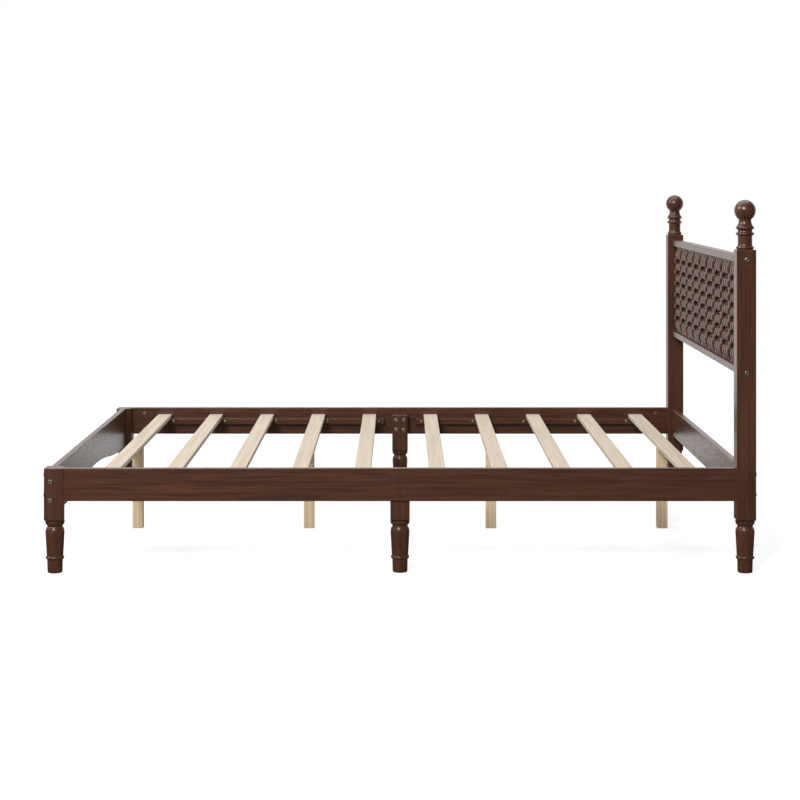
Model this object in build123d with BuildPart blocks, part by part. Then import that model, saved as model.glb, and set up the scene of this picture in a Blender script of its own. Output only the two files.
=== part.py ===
from build123d import *
from math import copysign
import os

os.makedirs("parts", exist_ok=True)

# Platform bed with turned posts and a woven headboard, in millimetres.
# Origin on the floor under the middle of the bed, +X to the head, +Z up.

# Mattress that the bed takes, and the room left around it
mattress_length = 2032.0
mattress_width = 1524.0
end_clearance = 4.0
side_clearance = 18.0

# Posts
post_size = 58.0
post_edge_round = 3.0
block_end_round = 2.0
foot_post_inner_round = 36.0
head_post_top = 963.0
block_bottom = 158.0

# Side rails, footboard and the rail across the head end
rail_bottom = 216.0
rail_height = 98.0
rail_thickness = 22.0
rail_inset = 2.0
rail_edge_round = 2.0
seam_ease = 0.8
footboard_thickness = 19.0
footboard_inset = 14.0
footboard_end_bottom = 176.0
footboard_arch_rise = 36.0
footboard_arch_half_length = 645.0
end_rail_thickness = 20.0
end_rail_inset = 14.0

# Turned foot: heights above the floor, and diameters
toe_round = 4.0
toe_diameter = 44.5
ankle_height = 40.0
ankle_diameter = 46.5
ankle_bead_diameter = 55.5
ankle_bead_height = 10.5
taper_low_diameter = 49.0
shoulder_diameter = 56.6
shoulder_height = 119.0
neck_diameter = 46.0
neck_height = 139.5
collar_diameter = 57.5
collar_height = 150.5
collar_groove_diameter = 51.0
collar_groove_height = 2.6

# Finial: heights above the top of the post, and diameters
base_groove_diameter = 49.0
base_groove_height = 2.6
ring_diameter = 54.6
ring_height = 8.4
base_ring_height = 6.4
stem_diameter = 43.0
stem_bottom = 17.0
stem_top = 40.0
low_ring_height = 47.2
high_ring_height = 65.0
flare_diameter = 50.6
finial_neck_diameter = 37.4
finial_neck_height = 86.0
ball_diameter = 64.0
ball_centre = 116.5

# Middle legs, notched to carry the two halves of each side rail at their seam
leg_shoulder = 15.0
leg_bolt_half_spacing = 13.9
leg_bolt_drops = (41.2, 78.2)

# Slats, the ledgers they lie on and their support legs
slats_each_half = 5
slat_width = 50.0
slat_thickness = 15.0
slat_drop = 24.0
slat_pitch = 191.8
middle_slat_offset = 114.0
slat_end_clearance = 1.0
slat_edge_round = 2.0
ledger_width = 20.0
ledger_height = 21.0
ledger_middle_gap = 59.5
ledger_overrun = 10.0
ledger_edge_round = 1.5
ledger_screw_offset = 34.0
support_leg_size = 35.0
support_leg_edge_round = 3.0
slats_each_support = 3

# Headboard rails
headboard_rail_inset = 16.0
headboard_rail_depth = 30.0
headboard_top_rail_height = 22.5
headboard_top_rail_bottom = 922.0
headboard_low_rail_height = 20.0
headboard_low_rail_bottom = 586.0

# Woven panel: upright strips that pass over and under level bars
weave_rows = 7
weave_end_margin = 32.0
weave_side_gap = 32.0
weave_columns = 9
wide_group_strips = 3
weave_clearance = 0.3
strip_thickness = 11.5
strip_gap = 1.4
strip_seat = 3.0
strip_seat_clearance = 0.25
bar_diameter = 5.0
bar_seat = 12.0
bar_clearance = 0.1

# Fasteners
bolt_diameter = 6.0
bolt_play = 0.5
bolt_tip = 5.0
bolt_head_diameter = 15.0
bolt_head_height = 3.0
bolt_head_recess = 1.0
bolt_key_size = 6.0
bolt_key_depth = 2.6
nut_diameter = 12.0
nut_beyond_bolt = 4.8
nut_slot_width = 1.6
nut_slot_depth = 1.2
nut_setback = 42.0
rail_bolt_edge = 19.0
footboard_bolt_half_spacing = 28.0
footboard_bolt_setback = 5.2
insert_diameter = 10.0
insert_length = 13.0
dowel_diameter = 8.0
dowel_length = 30.0
end_rail_dowel_half_spacing = 28.0
headboard_dowel_offset = 9.0
cam_diameter = 15.0
cam_depth = 14.0
cam_setback = 24.0
cam_stud_diameter = 6.0
cam_stud_seat = 12.0
screw_diameter = 4.5
screw_length = 36.0
screw_head_diameter = 11.0
screw_head_height = 2.2
stud_diameter = 8.0
stud_in_leg = 30.0
stud_in_slat = 10.0
finial_stud_depth = 25.0

# Places worked out from the driving dimensions
inner_length = mattress_length + 2 * end_clearance
inner_width = mattress_width + 2 * side_clearance
total_length = footboard_inset + footboard_thickness + inner_length + post_size - end_rail_inset
half_length = total_length / 2
half_width = inner_width / 2 + rail_thickness + rail_inset
post_x = half_length - post_size / 2
post_y = half_width - post_size / 2
post_inner_x = half_length - post_size
post_inner_y = half_width - post_size
rail_top = rail_bottom + rail_height
rail_middle = rail_bottom + rail_height / 2
rail_inner_y = inner_width / 2
rail_mid_y = rail_inner_y + rail_thickness / 2
footboard_x = -half_length + footboard_inset + footboard_thickness / 2
footboard_inner_x = footboard_x + footboard_thickness / 2
footboard_bolt_x = footboard_x - footboard_thickness / 2 + footboard_bolt_setback
footboard_middle = (footboard_end_bottom + rail_top) / 2
end_rail_x = footboard_inner_x + inner_length + end_rail_thickness / 2
end_rail_back_x = end_rail_x + end_rail_thickness / 2
headboard_x = post_inner_x + headboard_rail_inset + headboard_rail_depth / 2
headboard_back_x = headboard_x + headboard_rail_depth / 2
top_rail_middle = headboard_top_rail_bottom + headboard_top_rail_height / 2
low_rail_middle = headboard_low_rail_bottom + headboard_low_rail_height / 2
slat_top = rail_top - slat_drop
slat_bottom = slat_top - slat_thickness
ledger_bottom = slat_bottom - ledger_height
ledger_inner_y = rail_inner_y - ledger_width
slat_offsets = [middle_slat_offset + slat_pitch * i for i in range(slats_each_half)]
leg_outer_y = rail_inner_y + leg_shoulder
leg_inner_y = leg_outer_y - post_size
leg_y = leg_outer_y - post_size / 2
leg_top = slat_top
panel_bottom = headboard_low_rail_bottom + headboard_low_rail_height
panel_height = headboard_top_rail_bottom - panel_bottom
bar_step = (panel_height - 2 * weave_end_margin) / (2 * (weave_rows - 1))
bar_heights = [panel_bottom + weave_end_margin + bar_step * i for i in range(2 * weave_rows - 1)]
strips_in_column = wide_group_strips + 1
strip_count = weave_columns * strips_in_column + 1
strip_pitch = (2 * post_inner_y - 2 * weave_side_gap) / strip_count
strip_width = strip_pitch - strip_gap
weave_reach = bar_diameter / 2 + weave_clearance + strip_thickness / 2
bolt_reach = post_size + nut_setback + nut_diameter / 2 + bolt_tip
headboard_heights = (top_rail_middle, low_rail_middle)
bolt_bore = bolt_diameter / 2 + bolt_play
bolt_seat = bolt_head_diameter / 2 + bolt_play
leg_bolt_reach = post_size - leg_shoulder + insert_length - bolt_play

right, left = -1, 1
foot, head = -1, 1
side_names = {right: "right", left: "left"}
end_names = {foot: "foot", head: "head"}


def facing(x, y, z, outward, x_dir=None):
    """Plane on a surface, with +Z along the outward direction."""
    return Plane(origin=(x, y, z), x_dir=x_dir, z_dir=outward)


# Where the fasteners sit: each plane lies on the surface that the fastener enters

def rail_bolts(side, end):
    heights = (rail_top - rail_bolt_edge, rail_bottom + rail_bolt_edge)
    return [facing(end * half_length, side * rail_mid_y, z, (end, 0, 0)) for z in heights]


def rail_nuts(side, end):
    x = end * (post_inner_x - nut_setback)
    heights = (rail_top - rail_bolt_edge, rail_bottom + rail_bolt_edge)
    return [facing(x, side * rail_inner_y, z, (0, -side, 0), (1, 0, 0)) for z in heights]


def rail_dowel(side, end):
    return facing(end * post_inner_x, side * rail_mid_y, rail_middle, (end, 0, 0))


def footboard_bolts(side):
    offsets = (footboard_bolt_half_spacing, -footboard_bolt_half_spacing)
    return [
        facing(footboard_bolt_x, side * half_width, footboard_middle + offset, (0, side, 0))
        for offset in offsets
    ]


def footboard_nuts(side):
    y = side * (post_inner_y - nut_setback)
    offsets = (footboard_bolt_half_spacing, -footboard_bolt_half_spacing)
    return [
        facing(footboard_inner_x, y, footboard_middle + offset, (1, 0, 0), (0, 1, 0))
        for offset in offsets
    ]


def headboard_bolt(side, height):
    return facing(headboard_x, side * half_width, height, (0, side, 0))


def headboard_nut(side, height):
    y = side * (post_inner_y - nut_setback)
    return facing(headboard_back_x, y, height, (1, 0, 0), (0, 1, 0))


def headboard_dowel(side, height):
    return facing(headboard_x - headboard_dowel_offset, side * post_inner_y, height, (0, side, 0))


def end_rail_dowels(side):
    offsets = (end_rail_dowel_half_spacing, -end_rail_dowel_half_spacing)
    return [
        facing(end_rail_x, side * post_inner_y, rail_middle + offset, (0, side, 0))
        for offset in offsets
    ]


def end_rail_stud(side):
    return facing(end_rail_x, side * (post_inner_y + cam_stud_seat), rail_middle, (0, side, 0))


def end_rail_cam(side):
    y = side * (post_inner_y - cam_setback)
    return facing(end_rail_back_x, y, rail_middle, (1, 0, 0), (0, side, 0))


def leg_bolts(side, y, ends=(foot, head)):
    return [
        facing(end * leg_bolt_half_spacing, side * y, rail_top - drop, (0, -side, 0))
        for end in ends for drop in leg_bolt_drops
    ]


def ledger_screws(side, end):
    z = ledger_bottom + ledger_height / 2
    return [
        facing(end * (offset - ledger_screw_offset), side * ledger_inner_y, z, (0, -side, 0))
        for offset in slat_offsets
    ]


def support_stud(x):
    return facing(x, 0, slat_bottom, (0, 0, 1))


def finial_stud(side):
    return facing(post_x, side * post_y, head_post_top, (0, 0, 1))


# Fasteners, each made once with its surface at Z = 0 and its shank downwards

def make_bolt(reach):
    """Connector bolt: shallow round head with a hexagon key hole, and a plain shank."""
    head_top = bolt_head_height - bolt_head_recess
    with BuildPart() as bolt:
        with BuildSketch(Plane.XY.offset(-bolt_head_recess)):
            Circle(bolt_head_diameter / 2)
        extrude(amount=bolt_head_height)
        fillet(bolt.edges().sort_by(Axis.Z)[-1], radius=bolt_head_height * 0.5)
        with BuildSketch(Plane.XY.offset(head_top)):
            RegularPolygon(bolt_key_size / 2, 6, major_radius=False)
        extrude(amount=-bolt_key_depth, mode=Mode.SUBTRACT)
        with BuildSketch(Plane.XY.offset(-bolt_head_recess)):
            Circle(bolt_diameter / 2)
        extrude(amount=-(reach - bolt_head_recess))
        chamfer(bolt.edges().sort_by(Axis.Z)[0], length=bolt_diameter / 8)
    return bolt.part


def make_barrel_nut(bolt_distance):
    """Cross nut: a plug with a driver slot in its face and the bolt's hole across it."""
    with BuildPart() as nut:
        with BuildSketch(Plane.XY):
            Circle(nut_diameter / 2)
        extrude(amount=-(bolt_distance + nut_beyond_bolt))
        with BuildSketch(Plane.XY):
            Rectangle(nut_diameter * 0.7, nut_slot_width)
        extrude(amount=-nut_slot_depth, mode=Mode.SUBTRACT)
        with BuildSketch(Plane.YZ.offset(-nut_diameter / 2)):
            with Locations((0, -bolt_distance)):
                Circle(bolt_diameter / 2)
        extrude(amount=nut_diameter, mode=Mode.SUBTRACT)
    return nut.part


def make_rod(diameter, below, above, end_ease):
    """Dowel or stud across a joint, with both ends eased."""
    with BuildPart() as rod:
        with BuildSketch(Plane.XY.offset(-below)):
            Circle(diameter / 2)
        extrude(amount=below + above)
        chamfer(rod.edges().filter_by(GeomType.CIRCLE), length=end_ease)
    return rod.part


def make_screw():
    """Washer-head wood screw with a cross recess."""
    with BuildPart() as screw:
        with BuildSketch(Plane.XY):
            Circle(screw_head_diameter / 2)
        extrude(amount=screw_head_height)
        fillet(screw.edges().sort_by(Axis.Z)[-1], radius=screw_head_height * 0.7)
        with BuildSketch(Plane.XY.offset(screw_head_height)):
            Rectangle(screw_diameter, screw_diameter / 4)
            Rectangle(screw_diameter / 4, screw_diameter)
        extrude(amount=-screw_head_height / 2, mode=Mode.SUBTRACT)
        with BuildSketch(Plane.XY):
            Circle(screw_diameter / 2)
        extrude(amount=-screw_length)
        chamfer(screw.edges().sort_by(Axis.Z)[0], length=screw_diameter * 0.4)
    return screw.part


def make_insert():
    """Threaded insert: a sleeve set flush in the rail's inner face."""
    with BuildPart() as insert:
        with BuildSketch(Plane.XY):
            Circle(insert_diameter / 2)
            Circle(bolt_diameter / 2, mode=Mode.SUBTRACT)
        extrude(amount=-insert_length)
    return insert.part


def make_cam():
    """Cam lock: a disc in the rail's back face that grips the end of the stud."""
    stud_depth = end_rail_thickness / 2
    with BuildPart() as cam:
        with BuildSketch(Plane.XY):
            Circle(cam_diameter / 2)
        extrude(amount=-cam_depth)
        with BuildSketch(Plane.XY):
            Rectangle(cam_diameter * 0.6, nut_slot_width)
            Rectangle(nut_slot_width, cam_diameter * 0.6)
        extrude(amount=-nut_slot_depth, mode=Mode.SUBTRACT)
        with BuildSketch(Plane.YZ):
            with Locations((0, -stud_depth)):
                Circle(cam_stud_diameter / 2)
        extrude(amount=cam_diameter, mode=Mode.SUBTRACT)
    return cam.part


def grouped(piece, places):
    """One node of separate solids: the same piece at each of its places."""
    with BuildPart() as group:
        with Locations(*places):
            add(piece)
    return group


def save(piece, name):
    """Label a finished piece and write it under its own name."""
    piece.part.label = name
    export_step(piece.part, f"parts/{name}.step")


# Turned outlines, drawn as half sections beside their upright axis

def turned_foot(x, y):
    """Half section of the turned foot: toe, ankle bead, taper, shoulder, neck and collar."""
    toe_r, ankle_r, taper_r = toe_diameter / 2, ankle_diameter / 2, taper_low_diameter / 2
    shoulder_r, neck_r, collar_r = shoulder_diameter / 2, neck_diameter / 2, collar_diameter / 2
    groove_r = collar_groove_diameter / 2
    bead_top = ankle_height + ankle_bead_height
    groove_bottom = block_bottom - collar_groove_height
    cove_r = (shoulder_r + neck_r) / 2
    cove_half_height = (collar_height - neck_height) / 3
    cove_low, cove_high = neck_height - 1.4 * cove_half_height, neck_height + cove_half_height
    with BuildSketch(Plane(origin=(x, y, 0), x_dir=(1, 0, 0), z_dir=(0, -1, 0))) as outline:
        with BuildLine():
            Line((0, 0), (toe_r - toe_round, 0))
            TangentArc((toe_r - toe_round, 0), (toe_r, toe_round), tangent=(1, 0))
            Line((toe_r, toe_round), (ankle_r, ankle_height))
            bead_middle = (ankle_bead_diameter / 2, ankle_height + ankle_bead_height / 2)
            ThreePointArc((ankle_r, ankle_height), bead_middle, (taper_r, bead_top))
            taper = Line((taper_r, bead_top), (shoulder_r, shoulder_height))
            TangentArc((shoulder_r, shoulder_height), (cove_r, cove_low), tangent=taper % 1)
            ThreePointArc((cove_r, cove_low), (neck_r, neck_height), (cove_r, cove_high))
            TangentArc((collar_r, collar_height), (cove_r, cove_high), tangent=(0, -1))
            Polyline(
                (collar_r, collar_height), (collar_r, groove_bottom), (groove_r, groove_bottom),
                (groove_r, block_bottom), (0, block_bottom), (0, 0),
            )
        make_face()
    return outline.sketch


def ring(low, height):
    """Half round of a turned ring; returns the ends of its arc, low and high."""
    root_r = ring_diameter / 2 - height / 2
    low_end, high_end = (root_r, low), (root_r, low + height)
    ThreePointArc(low_end, (ring_diameter / 2, low + height / 2), high_end)
    return low_end, high_end


def turned_finial(x, y):
    """Half section of the finial: base ring, stem, two rings, flared neck and ball."""
    stem_r, neck_r, ball_r = stem_diameter / 2, finial_neck_diameter / 2, ball_diameter / 2
    groove_r = base_groove_diameter / 2
    neck_meets_ball = ball_centre - (ball_r**2 - neck_r**2) ** 0.5
    with BuildSketch(Plane(origin=(x, y, head_post_top), x_dir=(1, 0, 0), z_dir=(0, -1, 0))) as outline:
        with BuildLine():
            base_low, base_high = ring(base_groove_height, base_ring_height)
            low_low, low_high = ring(low_ring_height - ring_height / 2, ring_height)
            high_low, high_high = ring(high_ring_height - ring_height / 2, ring_height)
            Polyline((0, 0), (groove_r, 0), (groove_r, base_groove_height), base_low)
            TangentArc((stem_r, stem_bottom), base_high, tangent=(0, -1))
            Line((stem_r, stem_bottom), (stem_r, stem_top))
            TangentArc((stem_r, stem_top), low_low, tangent=(0, 1))
            waist = (stem_r, (low_high[1] + high_low[1]) / 2)
            TangentArc(waist, low_high, tangent=(0, -1))
            TangentArc(waist, high_low, tangent=(0, 1))
            Line(high_high, (flare_diameter / 2, high_high[1]))
            TangentArc((neck_r, finial_neck_height), (flare_diameter / 2, high_high[1]), tangent=(0, -1))
            Line((neck_r, finial_neck_height), (neck_r, neck_meets_ball))
            ThreePointArc((neck_r, neck_meets_ball), (ball_r, ball_centre), (0, ball_centre + ball_r))
            Line((0, ball_centre + ball_r), (0, 0))
        make_face()
    return outline.sketch


def upright(x, y):
    return Axis((x, y, 0), (0, 0, 1))


# Wooden pieces

def make_post(x, y, top, inner_round=post_edge_round):
    """Square block on a turned foot; its corner towards the middle of the bed has a round of its own."""
    foot_section = turned_foot(x, y)
    inner_corner = (x - copysign(post_size / 2, x), y - copysign(post_size / 2, y), 0)
    with BuildPart() as post:
        with BuildSketch(Plane.XY.offset(block_bottom)) as block:
            with Locations((x, y)):
                Rectangle(post_size, post_size)
            fillet(block.vertices().sort_by_distance(inner_corner)[1:], radius=post_edge_round)
            fillet(block.vertices().sort_by_distance(inner_corner)[0], radius=inner_round)
        extrude(amount=top - block_bottom)
        fillet(post.faces().filter_by(Axis.Z).edges(), radius=block_end_round)
        revolve(foot_section, axis=upright(x, y))
    return post


def make_head_post(side):
    """Tall post, bored for the side rail, end rail, headboard rails, weave bars and finial."""
    blank = make_post(post_x, side * post_y, head_post_top)
    bars = [facing(headboard_x, side * post_inner_y, z, (0, -side, 0)) for z in bar_heights]
    bolts = rail_bolts(side, head) + [headboard_bolt(side, z) for z in headboard_heights]
    dowels = [rail_dowel(side, head), *end_rail_dowels(side)]
    dowels += [headboard_dowel(side, z) for z in headboard_heights]
    with BuildPart() as post:
        add(blank.part)
        with Locations(*bolts):
            CounterBoreHole(bolt_bore, bolt_seat, bolt_head_recess, post_size)
        with Locations(*dowels):
            Cylinder(dowel_diameter / 2, dowel_length, mode=Mode.SUBTRACT)
        with Locations(end_rail_stud(side)):
            Hole(cam_stud_diameter / 2, cam_stud_seat)
        with Locations(*bars):
            Hole(bar_diameter / 2 + bar_clearance, bar_seat)
        with Locations(finial_stud(side)):
            Hole(stud_diameter / 2, finial_stud_depth)
    return post


def make_foot_post(side):
    """Short post, well rounded at its inner corner, bored for the side rail and footboard."""
    blank = make_post(-post_x, side * post_y, rail_top, foot_post_inner_round)
    with BuildPart() as post:
        add(blank.part)
        with Locations(*rail_bolts(side, foot), *footboard_bolts(side)):
            CounterBoreHole(bolt_bore, bolt_seat, bolt_head_recess, post_size)
        with Locations(rail_dowel(side, foot)):
            Cylinder(dowel_diameter / 2, dowel_length, mode=Mode.SUBTRACT)
    return post


def make_middle_leg(side):
    """Leg under the rail's seam: the rail halves rest in a notch in its outer side."""
    blank = make_post(0, side * leg_y, leg_top)
    with BuildPart() as leg:
        add(blank.part)
        with BuildSketch(Plane.XY.offset(rail_bottom)):
            with Locations((0, side * (rail_inner_y + leg_shoulder / 2))):
                Rectangle(post_size, leg_shoulder)
        extrude(amount=rail_height, mode=Mode.SUBTRACT)
        with Locations(*leg_bolts(side, leg_inner_y)):
            CounterBoreHole(bolt_bore, bolt_seat, bolt_head_recess, post_size)
    return leg


def make_finial(side):
    """Turned finial on a stud in the top of the post."""
    section = turned_finial(post_x, side * post_y)
    with BuildPart() as finial:
        revolve(section, axis=upright(post_x, side * post_y))
        with Locations(finial_stud(side)):
            Cylinder(stud_diameter / 2, 2 * finial_stud_depth, mode=Mode.SUBTRACT)
    return finial


def make_side_rail(side, end):
    """One half of a side rail, from its post to the seam over the middle leg."""
    with BuildPart() as rail:
        with BuildSketch(Plane.YZ) as section:
            with Locations((side * rail_mid_y, rail_middle)):
                Rectangle(rail_thickness, rail_height)
            fillet(section.vertices(), radius=rail_edge_round)
        extrude(amount=end * post_inner_x)
        seam = rail.faces().filter_by(Axis.X).sort_by_distance((0, side * rail_mid_y, rail_middle))[0]
        chamfer(seam.edges(), length=seam_ease)
        with Locations(*rail_bolts(side, end)):
            Hole(bolt_bore, bolt_reach)
        with Locations(*rail_nuts(side, end)):
            Hole(nut_diameter / 2, rail_thickness / 2 + nut_beyond_bolt)
        with Locations(rail_dowel(side, end)):
            Cylinder(dowel_diameter / 2, dowel_length, mode=Mode.SUBTRACT)
        with Locations(*leg_bolts(side, rail_inner_y, [end])):
            Hole(insert_diameter / 2, insert_length)
        with Locations(*ledger_screws(side, end)):
            Hole(screw_diameter / 2, screw_length)
    return rail


def make_ledger(side, end):
    """Strip of wood screwed along the inside of a rail half, which carries the slat ends."""
    ledger_end = slat_offsets[-1] + slat_width / 2 + ledger_overrun
    length = ledger_end - ledger_middle_gap
    with BuildPart() as ledger:
        with BuildSketch(Plane.YZ.offset(end * ledger_middle_gap)) as section:
            with Locations((side * (rail_inner_y - ledger_width / 2), ledger_bottom + ledger_height / 2)):
                Rectangle(ledger_width, ledger_height)
            fillet(section.vertices(), radius=ledger_edge_round)
        extrude(amount=end * length)
        with Locations(*ledger_screws(side, end)):
            Hole(screw_diameter / 2, screw_length)
    return ledger


def make_footboard():
    """Board between the foot posts, with a long shallow arch along its lower edge."""
    outer = footboard_x - footboard_thickness / 2
    arch_top = footboard_end_bottom + footboard_arch_rise
    half_rise = footboard_end_bottom + footboard_arch_rise / 2
    half_arch = footboard_arch_half_length / 2
    with BuildPart() as board:
        with BuildSketch(Plane(origin=(outer, 0, 0), x_dir=(0, 1, 0), z_dir=(1, 0, 0))):
            with BuildLine():
                for side in (right, left):
                    arch_end = (side * footboard_arch_half_length, footboard_end_bottom)
                    turn = (side * half_arch, half_rise)
                    TangentArc(arch_end, turn, tangent=(-side, 0))
                    TangentArc((0, arch_top), turn, tangent=(side, 0))
                    Polyline(
                        arch_end, (side * post_inner_y, footboard_end_bottom),
                        (side * post_inner_y, rail_top), (0, rail_top),
                    )
            make_face()
        extrude(amount=footboard_thickness)
        long_edges = board.faces().filter_by(Axis.X).edges().filter_by(Axis.Z, reverse=True)
        fillet(long_edges, radius=rail_edge_round)
        for side in (right, left):
            with Locations(*footboard_bolts(side)):
                Hole(bolt_bore, bolt_reach)
            with Locations(*footboard_nuts(side)):
                Hole(nut_diameter / 2, footboard_inner_x - footboard_bolt_x + nut_beyond_bolt)
    return board


def cross_bar(x, z, depth, height):
    """Straight rail between the two head posts, with its long edges rounded."""
    with BuildPart() as bar:
        with BuildSketch(Plane.XZ.offset(-post_inner_y)) as section:
            with Locations((x, z)):
                Rectangle(depth, height)
            fillet(section.vertices(), radius=rail_edge_round)
        extrude(amount=2 * post_inner_y)
    return bar


def make_end_rail():
    """Low rail between the head posts, held by two dowels and a cam lock at each end."""
    blank = cross_bar(end_rail_x, rail_middle, end_rail_thickness, rail_height)
    with BuildPart() as rail:
        add(blank.part)
        for side in (right, left):
            with Locations(*end_rail_dowels(side)):
                Cylinder(dowel_diameter / 2, dowel_length, mode=Mode.SUBTRACT)
            with Locations(end_rail_stud(side)):
                Hole(cam_stud_diameter / 2 + bolt_play, cam_stud_seat + cam_setback)
            with Locations(end_rail_cam(side)):
                Hole(cam_diameter / 2, cam_depth)
    return rail


def make_headboard_rail(bottom, height, groove_z):
    """Rail above or below the weave, grooved for the ends of its strips."""
    middle = bottom + height / 2
    blank = cross_bar(headboard_x, middle, headboard_rail_depth, height)
    half_weave = post_inner_y - weave_side_gap
    with BuildPart() as rail:
        add(blank.part)
        with BuildSketch(Plane.XY.offset(groove_z)):
            with Locations((headboard_x, 0)):
                Rectangle(strip_thickness + 2 * strip_seat_clearance, 2 * half_weave)
        extrude(amount=strip_seat + strip_seat_clearance, both=True, mode=Mode.SUBTRACT)
        for side in (right, left):
            with Locations(headboard_bolt(side, middle)):
                Hole(bolt_bore, bolt_reach)
            with Locations(headboard_nut(side, middle)):
                Hole(nut_diameter / 2, headboard_rail_depth / 2 + nut_beyond_bolt)
            with Locations(headboard_dowel(side, middle)):
                Cylinder(dowel_diameter / 2, dowel_length, mode=Mode.SUBTRACT)
    return rail


def make_strip(phase):
    """Upright woven strip of oval section, in front of the first bar when its phase is foot."""
    low, high = panel_bottom, headboard_top_rail_bottom
    crests = [(phase * (-1) ** i * weave_reach, z) for i, z in enumerate(bar_heights)]
    turns = [(0, low), *crests, (0, high)]
    with BuildLine(Plane.XZ) as path:
        Line((0, low - strip_seat), (0, low))
        for start, stop in zip(turns, turns[1:]):
            middle = ((start[0] + stop[0]) / 2, (start[1] + stop[1]) / 2)
            TangentArc(start, middle, tangent=(0, 1))
            TangentArc(stop, middle, tangent=(0, -1))
        Line((0, high), (0, high + strip_seat))
    with BuildSketch(Plane.XY.offset(low - strip_seat)) as section:
        Ellipse(strip_thickness / 2, strip_width / 2)
    with BuildPart() as strip:
        sweep(section.sketch, path=path.wires()[0])
    return strip


def make_bar():
    """Level bar that the strips are woven round, made at the origin."""
    with BuildPart() as bar:
        with BuildSketch(Plane.XZ.offset(-post_inner_y - bar_seat)):
            Circle(bar_diameter / 2)
        extrude(amount=2 * (post_inner_y + bar_seat))
    return bar


def make_slat(x, studded):
    """Slat across the ledgers, bored for a stud where a support leg stands under it."""
    with BuildPart() as slat:
        with BuildSketch(Plane.XZ.offset(slat_end_clearance - rail_inner_y)) as section:
            with Locations((x, slat_bottom + slat_thickness / 2)):
                Rectangle(slat_width, slat_thickness)
            fillet(section.vertices(), radius=slat_edge_round)
        extrude(amount=2 * (rail_inner_y - slat_end_clearance))
        if studded:
            with Locations(support_stud(x)):
                Cylinder(stud_diameter / 2, 2 * stud_in_slat, mode=Mode.SUBTRACT)
    return slat


def make_support_leg(x):
    """Square leg under the middle of a slat, down to the floor."""
    with BuildPart() as leg:
        with BuildSketch() as section:
            with Locations((x, 0)):
                Rectangle(support_leg_size, support_leg_size)
            fillet(section.vertices(), radius=support_leg_edge_round)
        extrude(amount=slat_bottom)
        with Locations(support_stud(x)):
            Hole(stud_diameter / 2, stud_in_leg)
    return leg


# The bed, piece by piece

for side in (right, left):
    save(make_head_post(side), f"head_post_{side_names[side]}")
    save(make_foot_post(side), f"foot_post_{side_names[side]}")
    save(make_middle_leg(side), f"middle_leg_{side_names[side]}")
    save(make_finial(side), f"finial_{side_names[side]}")
    for end in (foot, head):
        save(make_side_rail(side, end), f"side_rail_{side_names[side]}_{end_names[end]}")
        save(make_ledger(side, end), f"slat_ledger_{side_names[side]}_{end_names[end]}")

save(make_footboard(), "footboard")
save(make_end_rail(), "head_end_rail")
save(make_headboard_rail(headboard_top_rail_bottom, headboard_top_rail_height, headboard_top_rail_bottom),
     "headboard_top_rail")
save(make_headboard_rail(headboard_low_rail_bottom, headboard_low_rail_height, panel_bottom),
     "headboard_bottom_rail")

slat_places = [-offset for offset in reversed(slat_offsets)] + slat_offsets
supported_places = [sign * offset for sign in (foot, head) for offset in slat_offsets[1::slats_each_support]]
for number, x in enumerate(slat_places, start=1):
    save(make_slat(x, x in supported_places), f"slat_{number:02d}")
for number, x in enumerate(sorted(supported_places), start=1):
    save(make_support_leg(x), f"slat_support_leg_{number}")

strip_places = [strip_pitch * (i - (strip_count - 1) / 2) for i in range(strip_count)]
narrow_places = strip_places[::strips_in_column]
wide_places = [y for y in strip_places if y not in narrow_places]
wide_strip, narrow_strip = make_strip(foot), make_strip(head)
save(grouped(wide_strip.part, [(headboard_x, y, 0) for y in wide_places]), "weave_wide_strips")
save(grouped(narrow_strip.part, [(headboard_x, y, 0) for y in narrow_places]), "weave_narrow_strips")
save(grouped(make_bar().part, [(headboard_x, 0, z) for z in bar_heights]), "weave_bars")

# Fasteners, one node for each kind at each joint

corners = [(side, end) for side in (right, left) for end in (foot, head)]
headboard_joints = [(side, z) for side in (right, left) for z in headboard_heights]
long_bolt = make_bolt(bolt_reach)
save(grouped(long_bolt, [p for c in corners for p in rail_bolts(*c)]), "side_rail_bolts")
save(grouped(long_bolt, [p for side in (right, left) for p in footboard_bolts(side)]), "footboard_bolts")
save(grouped(long_bolt, [headboard_bolt(*joint) for joint in headboard_joints]), "headboard_bolts")
save(grouped(make_bolt(leg_bolt_reach), [p for side in (right, left) for p in leg_bolts(side, leg_inner_y)]),
     "middle_leg_bolts")
save(grouped(make_insert(), [p for side in (right, left) for p in leg_bolts(side, rail_inner_y)]),
     "middle_leg_inserts")
save(grouped(make_barrel_nut(rail_thickness / 2), [p for c in corners for p in rail_nuts(*c)]),
     "side_rail_barrel_nuts")
save(grouped(make_barrel_nut(footboard_inner_x - footboard_bolt_x),
             [p for side in (right, left) for p in footboard_nuts(side)]), "footboard_barrel_nuts")
save(grouped(make_barrel_nut(headboard_rail_depth / 2), [headboard_nut(*joint) for joint in headboard_joints]),
     "headboard_barrel_nuts")
dowel = make_rod(dowel_diameter, dowel_length / 2, dowel_length / 2, dowel_diameter / 8)
save(grouped(dowel, [rail_dowel(*c) for c in corners]), "side_rail_dowels")
save(grouped(dowel, [headboard_dowel(*joint) for joint in headboard_joints]), "headboard_dowels")
save(grouped(dowel, [p for side in (right, left) for p in end_rail_dowels(side)]), "end_rail_dowels")
cam_stud = make_rod(cam_stud_diameter, cam_stud_seat + cam_setback, 0, cam_stud_diameter / 8)
save(grouped(cam_stud, [end_rail_stud(side) for side in (right, left)]), "end_rail_cam_studs")
save(grouped(make_cam(), [end_rail_cam(side) for side in (right, left)]), "end_rail_cam_locks")
save(grouped(make_screw(), [p for c in corners for p in ledger_screws(*c)]), "ledger_screws")
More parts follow.
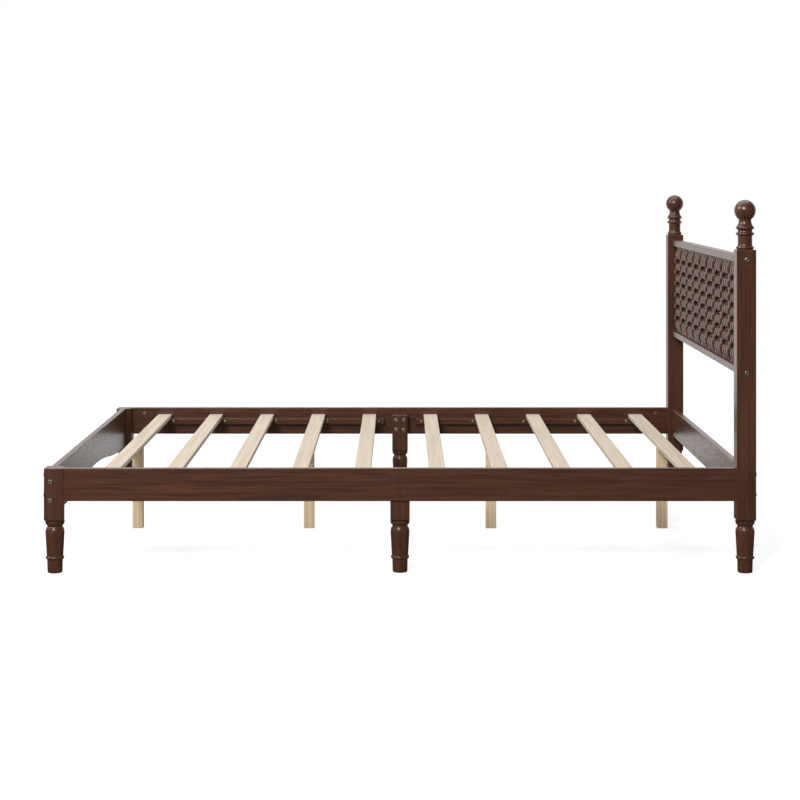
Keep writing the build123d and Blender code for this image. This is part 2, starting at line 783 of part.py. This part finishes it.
save(grouped(make_rod(stud_diameter, stud_in_leg, stud_in_slat, stud_diameter / 8),
             [support_stud(x) for x in supported_places]), "support_leg_studs")
save(grouped(make_rod(stud_diameter, finial_stud_depth, finial_stud_depth, stud_diameter / 8),
             [finial_stud(side) for side in (right, left)]), "finial_studs")
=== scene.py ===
from math import atan, radians

import bpy
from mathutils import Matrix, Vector


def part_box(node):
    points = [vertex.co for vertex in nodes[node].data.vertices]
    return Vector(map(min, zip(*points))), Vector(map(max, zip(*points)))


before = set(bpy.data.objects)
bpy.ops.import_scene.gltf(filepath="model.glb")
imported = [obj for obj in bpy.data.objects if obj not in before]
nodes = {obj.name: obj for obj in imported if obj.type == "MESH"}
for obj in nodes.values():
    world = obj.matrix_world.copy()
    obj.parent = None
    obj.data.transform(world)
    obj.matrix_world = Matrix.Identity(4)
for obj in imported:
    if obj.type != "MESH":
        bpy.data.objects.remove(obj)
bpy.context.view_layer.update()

bpy.ops.object.select_all(action="DESELECT")

# The photograph: a level camera square to the side of the bed
IMAGE_SIZE = 800
FOCAL_PIXELS = 2027.0
HORIZON_PIXEL = 177.0
CAMERA_DISTANCE = 6.02
CAMERA_HEIGHT = 1.1795
SENSOR_MM = 36.0

# The floor: its size and depth below the feet, and how far its shadows and its bright far part reach
FLOOR_SIZE = 900.0
FLOOR_DROP = 0.0005
SHADOW_REACH = (1.5, 4.0)
BRIGHT_FLOOR_Y = (0.4, 2.2)
SHADOW_SHARE = 0.34
SHADOW_GLOW = 0.70
BOUNCE_GREY, MIRRORED_GREY = 0.45, 0.05
MIRRORED_GLOW = (0.02, 0.95)

# The surroundings: bright towards +Y, dim elsewhere
BRIGHT_WORLD_Y = (0.30, 0.75)
WORLD_STRENGTH = (0.14, 1.0)

# Softboxes: name, place, target, size, power
SOFTBOXES = (
    ("softbox_top", (0.0, 0.6, 5.0), (0.0, 0.0, 0.3), (6.0, 4.0), 200.0),
    ("softbox_left", (-7.6, -1.8, 5.1), (0.0, 0.0, 0.4), (1.8, 1.8), 420.0),
    ("softbox_front", (-2.2, -7.6, 4.8), (0.0, 0.0, 0.4), (2.2, 1.4), 640.0),
)

# Grain: length against width of its streaks, and their scale
WALNUT_GRAIN = (0.035, 110.0)
PINE_GRAIN = (0.02, 120.0)
OFFSET_PER_SLAT = 0.37
WEAVE_GLOSS = 0.16
STEEL_COLOUR = (0.36, 0.31, 0.26, 1.0)
STEEL_HAZE_SCALE = 900.0


# Shader helpers

def new_tree(name):
    """Material with an empty node tree and its Principled BSDF."""
    material = bpy.data.materials.new(name)
    material.use_nodes = True
    tree = material.node_tree
    shader = tree.nodes["Principled BSDF"]
    return material, tree, shader


def new_group(name, inputs, outputs):
    """Node group with named sockets: inputs and outputs are lists of (name, socket type, default)."""
    group = bpy.data.node_groups.new(name, "ShaderNodeTree")
    for label, kind, default in inputs:
        socket = group.interface.new_socket(label, in_out="INPUT", socket_type=kind)
        if default is not None:
            socket.default_value = default
    for label, kind in outputs:
        group.interface.new_socket(label, in_out="OUTPUT", socket_type=kind)
    source = group.nodes.new("NodeGroupInput")
    sink = group.nodes.new("NodeGroupOutput")
    return group, source, sink


def math_node(tree, operation, a, b=None, clamp=False):
    node = tree.nodes.new("ShaderNodeMath")
    node.operation = operation
    node.use_clamp = clamp
    for socket, value in zip(node.inputs, (a, b)):
        if value is None:
            continue
        if isinstance(value, (int, float)):
            socket.default_value = value
        else:
            tree.links.new(value, socket)
    return node.outputs[0]


def map_range(tree, value, low, high, to_low=0.0, to_high=1.0):
    node = tree.nodes.new("ShaderNodeMapRange")
    node.interpolation_type = "SMOOTHSTEP"
    tree.links.new(value, node.inputs["Value"])
    for name, number in (("From Min", low), ("From Max", high), ("To Min", to_low), ("To Max", to_high)):
        node.inputs[name].default_value = number
    return node.outputs["Result"]


def noise(tree, vector, scale, detail=3.0, roughness=0.5, distortion=0.0):
    node = tree.nodes.new("ShaderNodeTexNoise")
    node.inputs["Scale"].default_value = scale
    node.inputs["Detail"].default_value = detail
    node.inputs["Roughness"].default_value = roughness
    node.inputs["Distortion"].default_value = distortion
    tree.links.new(vector, node.inputs["Vector"])
    return node.outputs["Fac"]


def mix_number(tree, factor, a, b):
    node = tree.nodes.new("ShaderNodeMix")
    tree.links.new(factor, node.inputs["Factor"])
    for socket, value in ((node.inputs["A"], a), (node.inputs["B"], b)):
        if isinstance(value, float):
            socket.default_value = value
        else:
            tree.links.new(value, socket)
    return node.outputs["Result"]


def mix_colour(tree, factor, a, b):
    node = tree.nodes.new("ShaderNodeMix")
    node.data_type = "RGBA"
    tree.links.new(factor, node.inputs["Factor"])
    for socket, value in ((node.inputs["A"], a), (node.inputs["B"], b)):
        if isinstance(value, tuple):
            socket.default_value = value
        else:
            tree.links.new(value, socket)
    return node.outputs["Result"]


def rgb(r, g, b):
    return (r, g, b, 1.0)


# Grain, shared by every wood. Its X runs along the board.

def make_grain_group():
    group, source, sink = new_group(
        "board_grain",
        [("Vector", "NodeSocketVector", None), ("Streak Length", "NodeSocketFloat", 0.04),
         ("Streak Scale", "NodeSocketFloat", 90.0)],
        [("Figure", "NodeSocketFloat"), ("Pores", "NodeSocketFloat"), ("Clouds", "NodeSocketFloat")],
    )
    stretch = group.nodes.new("ShaderNodeCombineXYZ")
    group.links.new(source.outputs["Streak Length"], stretch.inputs["X"])
    stretch.inputs["Y"].default_value = 1.0
    stretch.inputs["Z"].default_value = 1.0
    along = group.nodes.new("ShaderNodeVectorMath")
    along.operation = "MULTIPLY"
    group.links.new(source.outputs["Vector"], along.inputs[0])
    group.links.new(stretch.outputs[0], along.inputs[1])
    scaled = group.nodes.new("ShaderNodeVectorMath")
    scaled.operation = "SCALE"
    group.links.new(along.outputs[0], scaled.inputs[0])
    group.links.new(source.outputs["Streak Scale"], scaled.inputs["Scale"])
    figure = noise(group, scaled.outputs[0], 1.0, detail=4.0, roughness=0.62, distortion=0.3)
    pores = noise(group, scaled.outputs[0], 6.0, detail=2.0, roughness=0.5)
    clouds = noise(group, scaled.outputs[0], 0.12, detail=1.0)
    group.links.new(figure, sink.inputs["Figure"])
    group.links.new(pores, sink.inputs["Pores"])
    group.links.new(clouds, sink.inputs["Clouds"])
    return group


grain_group = make_grain_group()

# Rotations that lay the grain's X along a board's own length
TURNS = {"x": (0.0, 0.0, 0.0), "y": (0.0, 0.0, radians(-90)), "z": (0.0, radians(90), 0.0)}


def place_grain(tree, direction, offset, streak_length, streak_scale):
    """Grain group fed with object coordinates turned along the board and shifted for each piece."""
    coordinates = tree.nodes.new("ShaderNodeTexCoord")
    mapping = tree.nodes.new("ShaderNodeMapping")
    mapping.inputs["Rotation"].default_value = TURNS[direction]
    mapping.inputs["Location"].default_value = offset
    tree.links.new(coordinates.outputs["Object"], mapping.inputs["Vector"])
    grain = tree.nodes.new("ShaderNodeGroup")
    grain.node_tree = grain_group
    grain.inputs["Streak Length"].default_value = streak_length
    grain.inputs["Streak Scale"].default_value = streak_scale
    tree.links.new(mapping.outputs["Vector"], grain.inputs["Vector"])
    return grain, coordinates.outputs["Object"]


def bump(tree, height, strength, distance):
    node = tree.nodes.new("ShaderNodeBump")
    node.inputs["Strength"].default_value = strength
    node.inputs["Distance"].default_value = distance
    tree.links.new(height, node.inputs["Height"])
    return node.outputs["Normal"]


WALNUT_DARK = rgb(0.033, 0.0110, 0.0055)
WALNUT_MID = rgb(0.062, 0.0208, 0.0098)
WALNUT_LIGHT = rgb(0.090, 0.0315, 0.0145)


def walnut(name, direction, offset=(0.0, 0.0, 0.0), gloss=0.5):
    """Dark stained wood under a semi-gloss lacquer."""
    material, tree, shader = new_tree(name)
    grain, _ = place_grain(tree, direction, offset, *WALNUT_GRAIN)
    figure = map_range(tree, grain.outputs["Figure"], 0.34, 0.66)
    colour = mix_colour(tree, figure, WALNUT_DARK, WALNUT_LIGHT)
    clouds = map_range(tree, grain.outputs["Clouds"], 0.3, 0.7, 0.25, 0.65)
    colour = mix_colour(tree, clouds, colour, WALNUT_MID)
    tree.links.new(colour, shader.inputs["Base Color"])
    rough = map_range(tree, grain.outputs["Pores"], 0.3, 0.7, 0.26, 0.36)
    tree.links.new(rough, shader.inputs["Roughness"])
    tree.links.new(bump(tree, grain.outputs["Figure"], 0.25, 0.0004), shader.inputs["Normal"])
    shader.inputs["IOR"].default_value = 1.48
    shader.inputs["Specular IOR Level"].default_value = gloss
    return material


def make_knot_group():
    """Mask of one small knot, from the distance to its centre."""
    group, source, sink = new_group(
        "knot",
        [("Vector", "NodeSocketVector", None), ("Centre", "NodeSocketVector", None),
         ("Radius", "NodeSocketFloat", 0.005)],
        [("Mask", "NodeSocketFloat")],
    )
    apart = group.nodes.new("ShaderNodeVectorMath")
    apart.operation = "DISTANCE"
    group.links.new(source.outputs["Vector"], apart.inputs[0])
    group.links.new(source.outputs["Centre"], apart.inputs[1])
    share = math_node(group, "DIVIDE", apart.outputs["Value"], source.outputs["Radius"])
    group.links.new(map_range(group, share, 0.5, 1.1, 1.0, 0.0), sink.inputs["Mask"])
    return group


knot_group = make_knot_group()


def pine(name, direction, pale, deep, offset=(0.0, 0.0, 0.0), knots=()):
    """Planed, unfinished softwood with fine streaks, and a knot at each centre given."""
    material, tree, shader = new_tree(name)
    grain, place = place_grain(tree, direction, offset, *PINE_GRAIN)
    figure = map_range(tree, grain.outputs["Figure"], 0.36, 0.64)
    colour = mix_colour(tree, figure, deep, pale)
    clouds = map_range(tree, grain.outputs["Clouds"], 0.35, 0.65, 0.0, 0.35)
    colour = mix_colour(tree, clouds, colour, deep)
    for centre, radius in knots:
        knot = tree.nodes.new("ShaderNodeGroup")
        knot.node_tree = knot_group
        knot.inputs["Centre"].default_value = centre
        knot.inputs["Radius"].default_value = radius
        tree.links.new(place, knot.inputs["Vector"])
        colour = mix_colour(tree, knot.outputs["Mask"], colour, KNOT)
    tree.links.new(colour, shader.inputs["Base Color"])
    tree.links.new(bump(tree, grain.outputs["Figure"], 0.2, 0.0003), shader.inputs["Normal"])
    shader.inputs["Roughness"].default_value = 0.62
    shader.inputs["Specular IOR Level"].default_value = 0.35
    return material


def plated_steel():
    """Dull plated fasteners."""
    material, tree, shader = new_tree("plated_steel")
    coordinates = tree.nodes.new("ShaderNodeTexCoord")
    haze = noise(tree, coordinates.outputs["Object"], STEEL_HAZE_SCALE, detail=2.0)
    rough = map_range(tree, haze, 0.3, 0.7, 0.28, 0.42)
    tree.links.new(rough, shader.inputs["Roughness"])
    shader.inputs["Base Color"].default_value = STEEL_COLOUR
    shader.inputs["Metallic"].default_value = 1.0
    return material


def slat_knots(number):
    """Small knots on the top of one slat, as centre and radius."""
    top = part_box(f"slat_{number:02d}")
    middle_x = (top[0].x + top[1].x) / 2
    return [((middle_x + dx, y, top[1].z), radius) for n, dx, y, radius in SLAT_KNOTS if n == number]


def dress(node_name, material):
    """Put a material in every slot of a CAD node."""
    node = nodes[node_name]
    if not node.material_slots:
        node.data.materials.append(material)
    for slot in node.material_slots:
        slot.material = material


STEEL_NODES = [n for n in nodes if n.endswith(("bolts", "nuts", "inserts", "studs", "locks", "screws"))]
DOWEL_NODES = [n for n in nodes if n.endswith("dowels")]
SLAT_PALE, SLAT_DEEP = rgb(0.510, 0.435, 0.345), rgb(0.415, 0.340, 0.255)
LEG_PALE, LEG_DEEP = rgb(0.62, 0.48, 0.32), rgb(0.48, 0.35, 0.215)
KNOT = rgb(0.20, 0.13, 0.08)

# The photograph shows knots on slats 1, 7 and 10. Their places and radii here are guesses:
# slat number, shift from its middle line, Y, radius
SLAT_KNOTS = (
    (1, 0.008, -0.02, 0.0045), (1, -0.010, 0.32, 0.0035), (7, 0.004, -0.33, 0.0065), (7, -0.008, 0.18, 0.004),
    (10, -0.006, 0.25, 0.004), (10, 0.010, -0.28, 0.0035),
)

steel = plated_steel()
beech = pine("dowel_beech", "y", SLAT_PALE, SLAT_DEEP)
leg_pine = pine("leg_pine", "z", LEG_PALE, LEG_DEEP)
walnut_x, walnut_y, walnut_z = (walnut(f"walnut_along_{d}", d) for d in "xyz")
weave_walnut = walnut("weave_walnut", "z", gloss=WEAVE_GLOSS)
for name in nodes:
    if name in STEEL_NODES:
        dress(name, steel)
    elif name in DOWEL_NODES:
        dress(name, beech)
    elif name.startswith("slat_support_leg"):
        dress(name, leg_pine)
    elif name.startswith(("side_rail", "slat_ledger")):
        dress(name, walnut_x)
    elif name.startswith("slat_"):
        number = int(name[-2:])
        offset = (OFFSET_PER_SLAT * number, 0.0, 0.0)
        dress(name, pine(f"slat_pine_{number:02d}", "y", SLAT_PALE, SLAT_DEEP, offset, slat_knots(number)))
    elif name.startswith("weave"):
        dress(name, weave_walnut)
    elif name.startswith(("head_post", "foot_post", "middle_leg", "finial")):
        dress(name, walnut_z)
    else:
        dress(name, walnut_y)


# Floor, light and camera

def make_floor():
    """Pale floor: white to the camera with faint shadows, dark in front and bright behind in reflections."""
    bpy.ops.mesh.primitive_plane_add(size=FLOOR_SIZE, location=(0.0, 0.0, -FLOOR_DROP))
    floor = bpy.context.object
    floor.name = "floor"
    material, tree, shader = new_tree("pale_floor")
    path = tree.nodes.new("ShaderNodeLightPath")
    camera_ray, glossy_ray = path.outputs["Is Camera Ray"], path.outputs["Is Glossy Ray"]
    coordinates = tree.nodes.new("ShaderNodeTexCoord")
    split = tree.nodes.new("ShaderNodeSeparateXYZ")
    tree.links.new(coordinates.outputs["Object"], split.inputs[0])
    away = tree.nodes.new("ShaderNodeVectorMath")
    away.operation = "LENGTH"
    tree.links.new(coordinates.outputs["Object"], away.inputs[0])
    near = map_range(tree, away.outputs["Value"], *SHADOW_REACH, 1.0, 0.0)
    shaded = math_node(tree, "MULTIPLY", near, SHADOW_SHARE)
    unseen = mix_number(tree, glossy_ray, BOUNCE_GREY, MIRRORED_GREY)
    grey = mix_number(tree, camera_ray, unseen, shaded)
    glow = math_node(tree, "MULTIPLY", camera_ray, map_range(tree, near, 0.0, 1.0, 1.0, SHADOW_GLOW))
    behind = map_range(tree, split.outputs["Y"], *BRIGHT_FLOOR_Y, *MIRRORED_GLOW)
    mirrored = math_node(tree, "MULTIPLY", glossy_ray, behind)
    tree.links.new(grey, shader.inputs["Base Color"])
    shader.inputs["Emission Color"].default_value = rgb(1.0, 1.0, 1.0)
    tree.links.new(math_node(tree, "ADD", glow, mirrored), shader.inputs["Emission Strength"])
    shader.inputs["Roughness"].default_value = 0.9
    shader.inputs["Specular IOR Level"].default_value = 0.0
    floor.data.materials.append(material)


def make_world():
    """White wall of light behind the bed and dim surroundings elsewhere."""
    world = bpy.data.worlds.new("studio")
    bpy.context.scene.world = world
    world.use_nodes = True
    tree = world.node_tree
    background = tree.nodes["Background"]
    coordinates = tree.nodes.new("ShaderNodeTexCoord")
    split = tree.nodes.new("ShaderNodeSeparateXYZ")
    tree.links.new(coordinates.outputs["Generated"], split.inputs[0])
    behind = map_range(tree, split.outputs["Y"], *BRIGHT_WORLD_Y, *WORLD_STRENGTH)
    path = tree.nodes.new("ShaderNodeLightPath")
    strength = math_node(tree, "MAXIMUM", behind, path.outputs["Is Camera Ray"])
    tree.links.new(strength, background.inputs["Strength"])
    background.inputs["Color"].default_value = rgb(1.0, 1.0, 1.0)


def add_softbox(name, location, target, size, power):
    """Rectangular light at one point, aimed at another."""
    data = bpy.data.lights.new(name, "AREA")
    data.shape = "RECTANGLE"
    data.size, data.size_y = size
    data.energy = power
    light = bpy.data.objects.new(name, data)
    light.location = location
    light.rotation_euler = (Vector(target) - Vector(location)).to_track_quat("-Z", "Y").to_euler()
    bpy.context.scene.collection.objects.link(light)


def make_camera():
    data = bpy.data.cameras.new("camera")
    data.sensor_width = SENSOR_MM
    data.lens = FOCAL_PIXELS / IMAGE_SIZE * SENSOR_MM
    data.shift_y = -(IMAGE_SIZE / 2 - HORIZON_PIXEL) / IMAGE_SIZE
    camera = bpy.data.objects.new("camera", data)
    near_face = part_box("foot_post_right")[0].y
    camera.location = (0.0, near_face - CAMERA_DISTANCE, CAMERA_HEIGHT)
    camera.rotation_euler = (radians(90), 0.0, 0.0)
    bpy.context.scene.collection.objects.link(camera)
    bpy.context.scene.camera = camera


make_floor()
make_world()
for softbox in SOFTBOXES:
    add_softbox(*softbox)
make_camera()
bpy.context.scene.view_settings.view_transform = "Standard"
